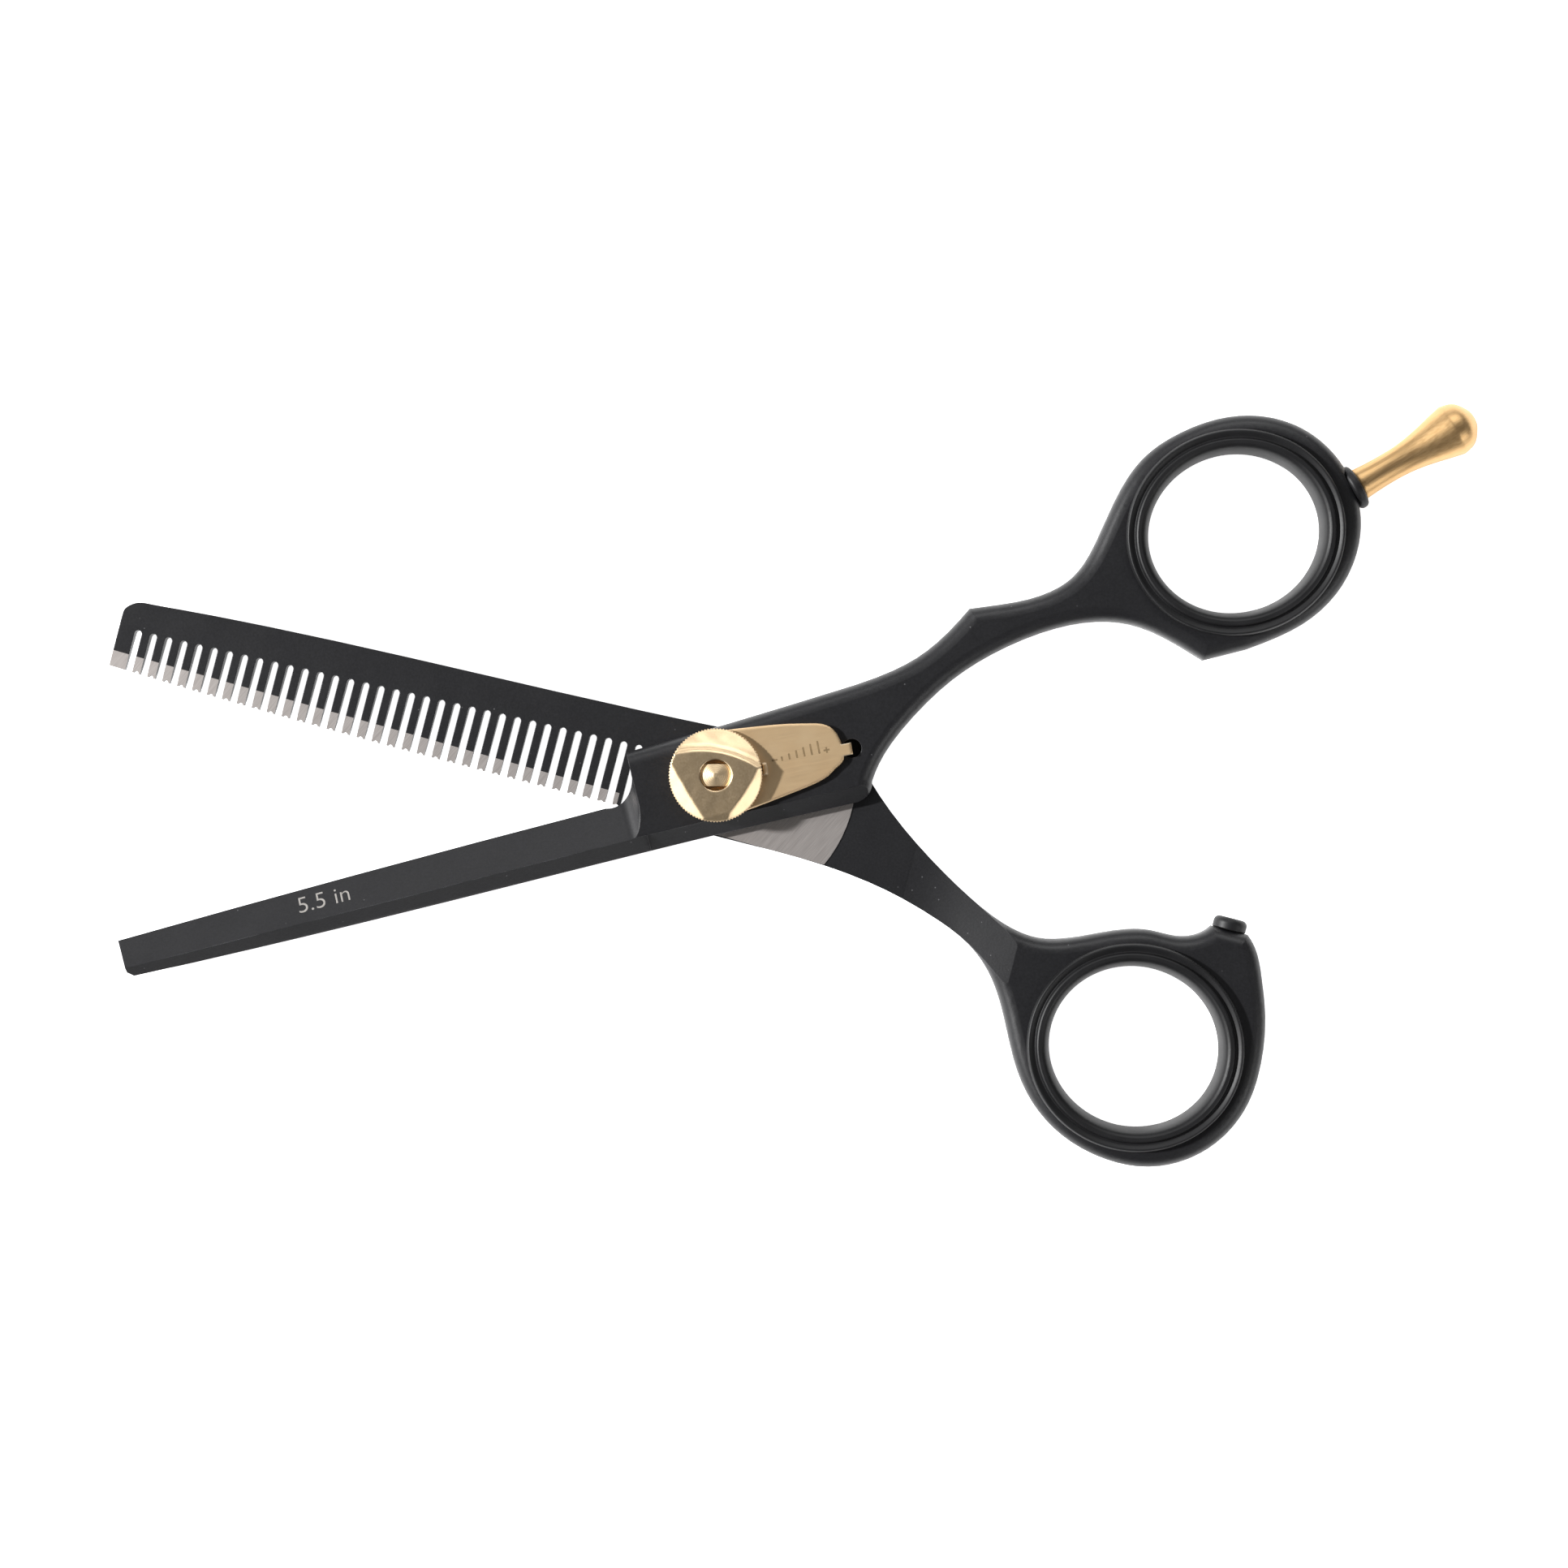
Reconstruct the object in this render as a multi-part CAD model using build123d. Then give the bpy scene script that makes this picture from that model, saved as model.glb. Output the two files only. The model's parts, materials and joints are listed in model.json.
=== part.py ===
from build123d import *
import math
import os

# Hairdresser's thinning shears: a toothed blade below, a plain blade above, one pivot.
# Everything is drawn about the pivot, with the mating plane of the blades at z = 0 and both
# halves closed: blades towards -X, handles towards +X. The halves are then turned apart to
# their rest opening and moved so that the origin lies under the middle of the whole object.

# ---------------------------------------------------------------- driving sizes (mm, degrees)
REST_OPENING = 28.8            # angle between the two halves at rest
BLADE_REACH = 66.0             # pivot to the blade ends
HANDLE_REACH = 61.3            # pivot to the middle of the finger ring, along the closed line
THUMB_SETBACK = 11.1           # how much nearer the pivot the thumb ring lies
HALF_THICKNESS = 2.4           # each half at the pivot; the handles are twice this
BLADE_GAP = 0.04               # daylight between the mating faces
EDGE_ROUND = 1.5               # rounding of the handle edges

FINGER_HOLE_LENGTH = 18.3      # opening of the finger liner
FINGER_HOLE_WIDTH = 16.8
THUMB_HOLE_LENGTH = 18.1       # opening of the thumb liner
THUMB_HOLE_WIDTH = 17.0
LINER_WALL = 1.15              # liner between the opening and the metal
RING_WALL = 1.8                # metal round the liner
LIP_REACH = 1.4                # liner lip over the metal
LIP_HEIGHT = 0.9               # liner lip above the metal
LINER_PLAY = 0.02

PIVOT_SHANK_D = 4.5            # smooth part of the pivot screw
STUD_D = 3.24                  # threaded end of the pivot screw
STUD_ACROSS_FLATS = 2.32
STUD_CONE = 0.4                # height of the turned cone on the stud's end
RUNNING_PLAY = 0.04            # radial play of a turning fit
BUSH_WALL = 0.5
HEAD_D = 7.4
HEAD_SEAT_DEPTH = 0.8          # how deep washer and head sit in the lower half
WASHER_THICKNESS = 0.4

PLATE_THICKNESS = 0.7
PLATE_EYE_R = 4.5              # plate round the stud
PLATE_LENGTH = 13.7            # pivot to the shoulder of the tail
TAIL_WIDTH = 1.25
TAIL_REACH = 1.0               # tail beyond the shoulder
TAIL_HOLE_R = 1.0
TAIL_HOLE_DEPTH = 2.0          # blind hole for the tail's bent end
TAIL_ANGLE = -3.25             # direction of the plate in the plain half
KEY_ANGLE = -14.0              # direction of the stud's flats in the plain half
CLICK_TAB_WIDTH = 1.15         # small tab bent up beside the dial's serrations
CLICK_TAB_THICKNESS = 0.42
CLICK_TAB_ANGLE = -3.8         # where it stands, against the plate's own line
DIAL_PLAY = 0.03

DIAL_D = 9.96
DIAL_HEIGHT = 1.75
DIAL_TEETH = 94
DIAL_TOOTH_DEPTH = 0.13

COMB_SLOTS = 34
SLOT_PITCH = 1.656
SLOT_WIDTH = 0.78
END_TOOTH_WIDTH = 1.8
TOOTH_NOTCH_R = 0.27

STOP_LINE_Y = -1.08            # flat under the finger ring that meets the bumper
BUMPER_D = 3.6
BUMPER_HEIGHT = 1.3
BUMPER_STEM_D = 1.8
BUMPER_STEM_LENGTH = 2.2

REST_LENGTH = 14.2             # finger rest beyond its washer
REST_BULB_R = 2.86
REST_NECK_R = 1.58
REST_ANGLE = 15.9              # finger rest against the closed line
REST_STUD_D = 2.5
REST_WASHER_D = 4.85
REST_WASHER_THICKNESS = 1.1

MIN_Z = (Align.CENTER, Align.CENTER, Align.MIN)
MAX_Z = (Align.CENTER, Align.CENTER, Align.MAX)
MAX_MAX_MAX = (Align.MAX, Align.MAX, Align.MAX)

# ---------------------------------------------------------------- sizes that follow
MATE = BLADE_GAP / 2
FINGER_R = FINGER_HOLE_LENGTH / 2 + LINER_WALL + RING_WALL
THUMB_R = THUMB_HOLE_LENGTH / 2 + LINER_WALL + RING_WALL
FINGER_RING = (HANDLE_REACH, STOP_LINE_Y + 1.015 * FINGER_R)
HORN_Y = STOP_LINE_Y - BUMPER_HEIGHT
THUMB_RING = (HANDLE_REACH - THUMB_SETBACK, HORN_Y - 1.21 * THUMB_R)
FINGER_HOLE = (FINGER_RING[0] - 1.57, FINGER_RING[1])
RAMP_START = 0.351 * HANDLE_REACH      # the shanks have parted beyond here
RAMP_END = 0.59 * HANDLE_REACH
SLOT_FIRST_X = -BLADE_REACH + END_TOOTH_WIDTH + SLOT_WIDTH / 2 + 0.45
BLOCK_FRONT = -8.65                    # step between the blade facet and the block
RIDE_R = 14.9                          # ground ride face round the pivot
BUSH_OD = PIVOT_SHANK_D + 2 * RUNNING_PLAY + 2 * BUSH_WALL
HEAD_SEAT_D = HEAD_D + 0.4
LOWEST_Z = -HALF_THICKNESS - LIP_HEIGHT


def finger_ring_point(angle, share):
    """A point of the finger ring's outer edge, share times the ring's radius from its middle."""
    turn = math.radians(angle)
    radius = share * FINGER_R
    return (FINGER_RING[0] + radius * math.cos(turn), FINGER_RING[1] + radius * math.sin(turn))


def thumb_ring_point(angle, share):
    turn = math.radians(angle)
    radius = share * THUMB_R
    return (THUMB_RING[0] + radius * math.cos(turn), THUMB_RING[1] + radius * math.sin(turn))


def shank_point(share, y):
    """A point of a shank, share of the way to the finger ring's middle."""
    return (share * HANDLE_REACH, y)


def blade_point(share, y):
    """A point of a blade, share of the way to its end."""
    return (-share * BLADE_REACH, y)


def flat_body(rounded, sharp):
    """The outline as a plate of the handles' thickness. The flat faces' edges are rounded along
    the first stretches of the outline and left sharp along the others."""
    body = extrude(Face(Wire(rounded + sharp)), amount=HALF_THICKNESS, both=True)
    kept_sharp = [edge @ 0.5 for edge in sharp]
    rim = []
    for edge in body.faces().filter_by(Axis.Z).edges():
        middle = edge @ 0.5
        on_sharp = [(point - middle).X ** 2 + (point - middle).Y ** 2 < 0.01 for point in kept_sharp]
        if not any(on_sharp):
            rim.append(edge)
    return body.fillet(EDGE_ROUND, rim)


def plain_outline():
    stop_right = (FINGER_RING[0] - 3.4, STOP_LINE_Y)
    stop_left = (FINGER_RING[0] - 8.1, STOP_LINE_Y)
    thorn = shank_point(0.497, 10.45)
    block_corner = (BLOCK_FRONT, 4.72)
    upper_edge = Spline(
        block_corner, (1.5, 4.96), shank_point(0.223, 5.48), shank_point(0.33, 6.0),
        shank_point(0.397, 7.0), shank_point(0.448, 8.5), thorn,
    )
    ring_and_waist = Spline(
        thorn, shank_point(0.575, 9.93), shank_point(0.632, 10.0), shank_point(0.685, 11.0),
        shank_point(0.742, 14.2), shank_point(0.808, 19.05),
        finger_ring_point(131, 1.117), finger_ring_point(110, 1.04), finger_ring_point(90, 1.009),
        finger_ring_point(66, 1.004), finger_ring_point(43, 1.004), finger_ring_point(20, 0.998),
        finger_ring_point(-3, 0.993), finger_ring_point(-24, 0.974), finger_ring_point(-50, 0.954),
        finger_ring_point(-73, 0.955), finger_ring_point(-94, 0.993), stop_right,
    )
    stop_flat = Line(stop_right, stop_left)
    under_edge = Spline(
        stop_left, finger_ring_point(-131.5, 1.19), finger_ring_point(-142, 1.2),
        shank_point(0.765, 4.45), shank_point(0.698, 5.85), shank_point(0.618, 6.1),
        shank_point(0.53, 5.35), shank_point(0.445, 3.75), shank_point(0.352, 0.63),
        (16.9, -3.35), (15.9, -4.75),
    )
    heel = Spline((15.9, -4.75), (15.2, -6.0), (13.6, -6.5))
    spine = Spline((13.6, -6.5), (-1.4, -6.15), blade_point(0.41, -5.96), blade_point(0.79, -5.65),
                   blade_point(0.987, -5.28))
    tip_corner = Line(blade_point(0.987, -5.28), blade_point(0.996, -4.75))
    tip = Line(blade_point(0.996, -4.75), blade_point(1.0, -1.22))
    cutting_edge = Spline(blade_point(1.0, -1.22), blade_point(0.69, -0.8), (-12.3, -0.5))
    choil = Spline((-12.3, -0.5), (-10.0, -0.1), (-9.2, 0.8), (BLOCK_FRONT, 2.6))
    block_front = Line((BLOCK_FRONT, 2.6), block_corner)
    rounded = [upper_edge, ring_and_waist, stop_flat, under_edge, heel, spine]
    return rounded, [tip_corner, tip, cutting_edge, choil, block_front]


def comb_outline():
    horn_right = (FINGER_RING[0] - 2.4, HORN_Y)
    horn_left = (FINGER_RING[0] - 6.3, HORN_Y)
    tooth_root = (-9.9, -5.75)
    waist_thorn = shank_point(0.584, -16.84)
    lower_edge = Spline(
        tooth_root, (1.8, -6.29), shank_point(0.242, -6.56), shank_point(0.337, -7.39),
        shank_point(0.433, -9.02), shank_point(0.498, -10.79), shank_point(0.543, -13.1),
        waist_thorn, thumb_ring_point(-156, 1.06), thumb_ring_point(-134.5, 1.025),
        thumb_ring_point(-113, 1.012), thumb_ring_point(-91, 1.026), thumb_ring_point(-74, 1.06),
        thumb_ring_point(-57.5, 1.09), thumb_ring_point(-42, 1.11), thumb_ring_point(-26, 1.122),
        thumb_ring_point(-10, 1.126), thumb_ring_point(3, 1.128), thumb_ring_point(30, 1.203),
        thumb_ring_point(42, 1.277), thumb_ring_point(55.5, 1.395), horn_right,
    )
    horn_top = Line(horn_right, horn_left)
    upper_edge = Spline(
        horn_left, thumb_ring_point(75.5, 1.135), thumb_ring_point(83, 1.052),
        thumb_ring_point(96, 1.043), thumb_ring_point(108.5, 1.043), thumb_ring_point(134, 1.11),
        shank_point(0.613, -8.24), shank_point(0.557, -7.84), shank_point(0.48, -5.9),
        shank_point(0.39, -2.68), shank_point(0.336, -0.4), (15.96, 3.58),
    )
    heel = Spline((15.96, 3.58), (14.9, 4.85), (12.9, 5.25))
    block_edge = Line((12.9, 5.25), (-1.25, 5.04))
    spine = Spline((-1.25, 5.04), blade_point(0.45, 4.15), blade_point(0.807, 3.31),
                   blade_point(0.942, 2.72))
    nose = Spline(blade_point(0.942, 2.72), blade_point(0.977, 2.36), blade_point(0.989, 1.7),
                  blade_point(0.9925, 0.5), tangents=((-1, -0.12), (0, -1)))
    tip = Line(blade_point(0.9925, 0.5), blade_point(0.9925, -4.72))
    tooth_line = Spline(blade_point(0.9925, -4.72), blade_point(0.7, -5.45), blade_point(0.4, -5.75),
                        tooth_root)
    return [lower_edge, horn_top, upper_edge, heel, block_edge, spine, nose, tip, tooth_line], []


def mating_cutter(side):
    """All that lies beyond the mating plane up to the shank, and the ramp into the handle.
    side is -1 for what the plain half loses below it, 1 for what the comb half loses above it."""
    far = 4 * HALF_THICKNESS
    level = -side * MATE
    start = (RAMP_START, level)
    end = (RAMP_END, side * (HALF_THICKNESS + 0.15))
    ramp = Spline(start, end, tangents=((1, 0), (1, 0.2 * side)))
    out = (RAMP_END, side * far)
    back = (-1.5 * BLADE_REACH, side * far)
    blade_end = (-1.5 * BLADE_REACH, level)
    section = Face(Wire([ramp, Line(end, out), Line(out, back), Line(back, blade_end),
                         Line(blade_end, start)]))
    return extrude(Plane.XZ * section, amount=4 * FINGER_R, both=True)


def ring_bore(length, width):
    """The hole in the metal that a liner of this opening fills."""
    hole = Ellipse(length / 2 + LINER_WALL, width / 2 + LINER_WALL)
    return extrude(hole, amount=2 * HALF_THICKNESS, both=True)


def grinding_cutter():
    """What grinding takes off the outer face of the plain blade: a flat facet that falls from the
    ridge to the cutting edge, with the wheel's round run-out where it meets the block."""
    edge_height = 0.35
    slope = math.degrees(math.atan(0.5))
    run_out = 2.0
    wheel = Box(1.4 * BLADE_REACH, 14, 8, align=(Align.MAX, Align.CENTER, Align.MIN))
    lower_end = wheel.edges().filter_by(Axis.Y).sort_by(Axis.X)[-2:].sort_by(Axis.Z)[0]
    wheel = wheel.fillet(run_out, [lower_end])
    lean = math.degrees(math.atan2(0.75, BLADE_REACH))
    facet = Pos(BLOCK_FRONT, -0.45, edge_height) * Rot(0, 0, lean) * Rot(-slope, 0, 0)
    return facet * wheel


def spine_bevel():
    """The bevel along the spine of the plain half: it runs from the block's front to the blade's
    tip, and narrows the other way until it has run out at the heel."""
    width = 1.65
    drop = 1.35
    block_length = 26
    section = Polyline((0, 0), (width, drop), (width, 4), (-3, 4), (-3, -3), (-1, -1), close=True)
    bevel = Plane.YZ * Face(Wire(section.edges()))
    along_blade = extrude(bevel, amount=1.3 * BLADE_REACH, dir=(-1, 0, 0))
    along_block = extrude(bevel, amount=block_length, dir=(1, 0, 0))
    blade_lean = math.degrees(math.atan2(0.65, BLADE_REACH))
    block_lean = math.degrees(math.atan2(0.59, block_length))
    cutter = Rot(0, 0, -blade_lean) * along_blade + Rot(0, 0, -block_lean) * along_block
    return Pos(BLOCK_FRONT, -5.98, HALF_THICKNESS - drop - 0.05) * cutter


def plain_blade_half():
    body = flat_body(*plain_outline())
    body -= mating_cutter(-1)
    body -= grinding_cutter()
    body -= spine_bevel()
    body -= Pos(*FINGER_HOLE) * ring_bore(FINGER_HOLE_LENGTH, FINGER_HOLE_WIDTH)
    body -= Cylinder(STUD_D / 2 + LINER_PLAY, 4 * HALF_THICKNESS)
    blind_hole = Cylinder(TAIL_HOLE_R, 2 * HALF_THICKNESS, align=MIN_Z)
    body -= tail_place() * Pos(0, 0, HALF_THICKNESS - TAIL_HOLE_DEPTH) * blind_hole
    body -= rest_place() * Cylinder(REST_WASHER_D / 2 + 0.25, 3, align=MIN_Z)
    stud_hole = Cylinder(REST_STUD_D / 2, RING_WALL + 2, align=MAX_Z)
    body -= rest_place() * stud_hole
    return body


def comb_blade_half():
    body = flat_body(*comb_outline())
    body -= mating_cutter(1)
    body -= comb_under_facet()
    body -= Pos(*THUMB_RING) * ring_bore(THUMB_HOLE_LENGTH, THUMB_HOLE_WIDTH)
    body -= ride_relief()
    body -= comb_slots()
    body -= Cylinder(BUSH_OD / 2, 4 * HALF_THICKNESS)
    seat = Cylinder(HEAD_SEAT_D / 2, HALF_THICKNESS, align=MAX_Z)
    body -= Pos(0, 0, HEAD_SEAT_DEPTH - HALF_THICKNESS) * seat
    stem_hole = Cylinder(BUMPER_STEM_D / 2, 2 * BUMPER_STEM_LENGTH)
    body -= bumper_place() * stem_hole
    return body


def comb_under_facet():
    """Thins the toothed side of the comb blade from below, with a round run-out at the block."""
    run_out = 3.0
    slope = math.degrees(math.atan(0.18))
    wheel = Box(1.4 * BLADE_REACH, 12, 8, align=MAX_MAX_MAX)
    inner_end = wheel.edges().filter_by(Axis.Y).sort_by(Axis.X)[-2:].sort_by(Axis.Z)[-1]
    wheel = wheel.fillet(run_out, [inner_end])
    return Pos(BLOCK_FRONT, 2.2, -HALF_THICKNESS) * Rot(-slope, 0, 0) * wheel


def ride_relief():
    """Lowers the face round the ground ride area by a hair, behind the pivot."""
    depth = 0.1
    strip = Box(RAMP_START + 1, 30, 1, align=(Align.MIN, Align.CENTER, Align.MIN))
    strip -= Cylinder(RIDE_R, 10)
    return Pos(0, 0, -MATE - depth) * strip


def comb_slots():
    slots = []
    for number in range(COMB_SLOTS):
        x = SLOT_FIRST_X + number * SLOT_PITCH
        share = number / (COMB_SLOTS - 1)
        top = -0.35 + 1.44 * share - SLOT_WIDTH / 2
        slot = Box(SLOT_WIDTH, 8, 9, align=(Align.CENTER, Align.MAX, Align.CENTER))
        slot += Cylinder(SLOT_WIDTH / 2, 9)
        slots.append(Pos(x, top, 0) * slot)
        slots.append(Pos(x + SLOT_PITCH / 2, tooth_tip_y(x) - 0.03, 0) * Cylinder(TOOTH_NOTCH_R, 9))
    return slots


def tooth_tip_y(x):
    """Height of the tooth tips at x, as the outline's tooth line runs."""
    share = -x / BLADE_REACH
    return -5.92 + 0.24 * share + 1.0 * share ** 4


def tail_place():
    turn = math.radians(TAIL_ANGLE)
    reach = PLATE_LENGTH + TAIL_HOLE_R
    return Pos(reach * math.cos(turn), reach * math.sin(turn), 0)


def rest_place():
    """Seat of the finger rest's washer on the finger ring; Z runs out along the rest."""
    seat = finger_ring_point(7.0, 0.962)
    return Pos(seat[0], seat[1], 0) * Rot(0, 0, REST_ANGLE) * Rot(0, 90, 0)


def bumper_place():
    """Top of the thumb ring's horn; Z runs out of it towards the finger ring."""
    return Pos(FINGER_RING[0] - 4.4, HORN_Y, 0) * Rot(-90, 0, 0)


def liner_side(side):
    """One half of the liner's section, above (1) or below (-1) its middle; x runs into the wall."""
    wall = LINER_WALL - LINER_PLAY
    face = side * (HALF_THICKNESS + LINER_PLAY)
    crest = side * (HALF_THICKNESS + LIP_HEIGHT)
    lip = LINER_WALL + LIP_REACH
    bead = Spline((0, 0), (0.12, side * 1.3), (0.45, crest - side * 0.6), (1.17, crest + side * 0.02),
                  tangents=((0, side), (1, 0)))
    groove = Spline((1.17, crest + side * 0.02), (1.65, crest - side * 0.42), (2.0, crest - side * 0.25),
                    (lip, face + side * 0.12), tangents=((1, 0), (0.15, -side)))
    under_lip = Polyline((lip, face + side * 0.12), (lip - 0.12, face), (wall, face), (wall, 0))
    return [bead, groove] + under_lip.edges()


def liner(length, width):
    """Soft ring liner: a bead inside, a lip over the metal on both sides, a flat crest."""
    section = Face(Wire(liner_side(1) + liner_side(-1)))
    path = Wire([Edge.make_ellipse(length / 2, width / 2)])
    ring = sweep(Pos(length / 2, 0, 0) * (Plane.XZ * section), path=path)
    return ring & Box(2 * length, 2 * length, 2 * (HALF_THICKNESS + LIP_HEIGHT))


def pivot_screw():
    head_top = -HALF_THICKNESS + HEAD_SEAT_DEPTH - WASHER_THICKNESS - MATE
    head = Cylinder(HEAD_D / 2, head_top - LOWEST_Z, align=MIN_Z)
    head = Pos(0, 0, LOWEST_Z) * head
    head = head.chamfer(0.3, None, head.edges().filter_by(GeomType.CIRCLE).sort_by(Axis.Z)[:1])
    head -= Pos(0, 0, LOWEST_Z) * Box(HEAD_D + 1, 1.1, 1.0)
    shank = Cylinder(PIVOT_SHANK_D / 2, -LOWEST_Z - MATE, align=MAX_Z)
    shank = Pos(0, 0, -MATE) * shank & Pos(0, 0, head_top - 0.2) * Cylinder(9, 20, align=MIN_Z)
    stud = Cylinder(STUD_D / 2, stud_top() - STUD_CONE + 1, align=MIN_Z)
    stud = Pos(0, 0, -1) * stud
    stud += Pos(0, 0, stud_top() - STUD_CONE) * Cone(STUD_D / 2, 0.2, STUD_CONE, align=MIN_Z)
    flats = Box(STUD_D, STUD_ACROSS_FLATS, stud_top(), align=MIN_Z)
    full_round = Box(STUD_D, STUD_D, 2 * HALF_THICKNESS, align=MAX_Z)
    stud &= Pos(0, 0, HALF_THICKNESS) * (flats + full_round)
    return head + shank + Rot(0, 0, KEY_ANGLE) * stud


def stud_top():
    return HALF_THICKNESS + PLATE_THICKNESS + MATE + DIAL_HEIGHT + 0.1


def pivot_bush():
    length = HALF_THICKNESS - HEAD_SEAT_DEPTH - MATE
    tube = Cylinder(BUSH_OD / 2, length, align=MIN_Z)
    tube -= Cylinder(PIVOT_SHANK_D / 2 + RUNNING_PLAY, 3 * length)
    return Pos(0, 0, HEAD_SEAT_DEPTH - HALF_THICKNESS) * tube


def pivot_washer():
    ring = Cylinder(HEAD_D / 2, WASHER_THICKNESS, align=MAX_Z)
    ring -= Cylinder(PIVOT_SHANK_D / 2 + RUNNING_PLAY, 3)
    return Pos(0, 0, HEAD_SEAT_DEPTH - HALF_THICKNESS) * ring


def tension_plate():
    """Leaf plate: an eye round the stud, a tongue towards the handles and a bent tail."""
    widest = PLATE_EYE_R
    tongue = [
        Spline((0, widest), (0.35 * PLATE_LENGTH, 4.25), (0.56 * PLATE_LENGTH, 3.97),
               (0.83 * PLATE_LENGTH, 3.35), tangents=((1, 0.03), (1, -0.2))),
        Spline((0.83 * PLATE_LENGTH, 3.35), (0.94 * PLATE_LENGTH, 2.65), (PLATE_LENGTH, 0.68),
               tangents=((1, -0.2), (0.15, -1))),
        Line((PLATE_LENGTH, 0.68), (PLATE_LENGTH, -0.68)),
        Spline((PLATE_LENGTH, -0.68), (0.92 * PLATE_LENGTH, -1.75), (0.85 * PLATE_LENGTH, -2.4),
               tangents=((-0.2, -1), (-1, -0.6))),
        Spline((0.85 * PLATE_LENGTH, -2.4), (0.58 * PLATE_LENGTH, -3.35), (0.2 * PLATE_LENGTH, -4.25),
               (0, -widest), tangents=((-1, -0.45), (-1, 0))),
        ThreePointArc((0, -widest), (-widest, 0), (0, widest)),
    ]
    body = extrude(Face(Wire(tongue)), amount=PLATE_THICKNESS, dir=(0, 0, 1))
    body = body.fillet(0.22, body.faces().sort_by(Axis.Z)[-1].edges())
    tail = Box(TAIL_REACH + 1, TAIL_WIDTH, PLATE_THICKNESS, align=(Align.MIN, Align.CENTER, Align.MIN))
    tail = tail.fillet(0.3, tail.edges().filter_by(Axis.Y).sort_by(Axis.X)[-2:].sort_by(Axis.Z)[-1:])
    body += Pos(PLATE_LENGTH - 1, 0, 0) * tail
    hook = Box(0.5, TAIL_WIDTH - 0.25, TAIL_HOLE_DEPTH - 0.3, align=(Align.MAX, Align.CENTER, Align.MAX))
    body += Pos(PLATE_LENGTH + TAIL_REACH, 0, 0.35) * hook
    across_flats = STUD_ACROSS_FLATS + 2 * LINER_PLAY
    hole = Cylinder(STUD_D / 2 + LINER_PLAY, 4) & Box(STUD_D + 1, across_flats, 4)
    body -= Rot(0, 0, KEY_ANGLE - TAIL_ANGLE) * hole
    tab_rise = PLATE_THICKNESS + 0.55 * DIAL_HEIGHT
    tab = Box(CLICK_TAB_THICKNESS, CLICK_TAB_WIDTH, tab_rise, align=(Align.MIN, Align.CENTER, Align.MIN))
    tab = tab.fillet(0.17, tab.faces().sort_by(Axis.Z)[-1].edges())
    tab &= Pos(0, 0, PLATE_THICKNESS / 2) * Box(9, 9, 9, align=MIN_Z)
    body += Rot(0, 0, CLICK_TAB_ANGLE) * Pos(DIAL_D / 2 + DIAL_PLAY, 0, 0) * tab
    return Pos(0, 0, HALF_THICKNESS) * Rot(0, 0, TAIL_ANGLE) * body


def dial_blank():
    """Serrated disc: one small tooth and one gap for each step of the rim."""
    points = []
    for step in range(2 * DIAL_TEETH):
        turn = math.pi * step / DIAL_TEETH
        radius = DIAL_D / 2 - (step % 2) * DIAL_TOOTH_DEPTH
        points.append((radius * math.cos(turn), radius * math.sin(turn)))
    return extrude(Face(Wire(Polyline(*points, close=True).edges())), amount=DIAL_HEIGHT)


def dial_fold(direction, distance, bow, fall):
    """Cutter for one folded flap: everything above a slope that falls outwards from a bowed
    crease, distance from the middle; fall lists the slope's points (outwards, down)."""
    top = DIAL_HEIGHT + 1
    outline = [(bow, top), (bow, DIAL_HEIGHT)]
    outline += [(bow + outwards, DIAL_HEIGHT - down) for outwards, down in fall]
    outline.append((bow + fall[-1][0], top))
    section = Face(Wire(Polyline(*outline, close=True).edges()))
    ring = revolve(Plane.XZ * section, Axis.Z)
    return Rot(0, 0, direction) * Pos(distance - bow, 0, 0) * ring


def tension_dial():
    body = dial_blank()
    body -= dial_fold(79.5, 2.35, 10.7, [(0.2, 0.1), (0.5, 0.4), (0.85, 0.6), (4.2, 1.82)])
    body -= dial_fold(211, 3.45, 60, [(0.2, 0.08), (3.2, 1.75)])
    body -= dial_fold(327, 3.5, 17.5, [(0.2, 0.08), (3.2, 1.75)])
    body -= dial_fold(287, 4.15, 17.5, [(0.2, 0.06), (3.0, 0.9)])
    body -= Cylinder(STUD_D / 2 + RUNNING_PLAY, 9)
    level = HALF_THICKNESS + PLATE_THICKNESS + MATE
    return Pos(0, 0, level) * body


def finger_rest():
    """Turned rest: a neck that swells to a bulb with a domed end, and a threaded stud."""
    base = REST_WASHER_THICKNESS
    shoulder = 0.81 * REST_LENGTH
    side = Spline((1.74, base), (REST_NECK_R, base + 0.21 * REST_LENGTH), (1.71, base + 0.42 * REST_LENGTH),
                  (2.08, base + 0.57 * REST_LENGTH), (2.55, base + 0.71 * REST_LENGTH),
                  (REST_BULB_R, base + shoulder))
    dome = Spline((REST_BULB_R, base + shoulder), (2.48, base + 0.905 * REST_LENGTH),
                  (1.35, base + 0.975 * REST_LENGTH), (0, base + REST_LENGTH), tangents=((-0.2, 1), (-1, 0)))
    axis = Line((0, base + REST_LENGTH), (0, base))
    section = Face(Wire([side, dome, axis, Line((0, base), (1.74, base))]))
    body = revolve(Plane.XZ * section, Axis.Z)
    stud = Cylinder(REST_STUD_D / 2 - LINER_PLAY, base + RING_WALL - 0.2, align=MIN_Z)
    return rest_place() * (body + Pos(0, 0, 0.2 - RING_WALL) * stud)


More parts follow.
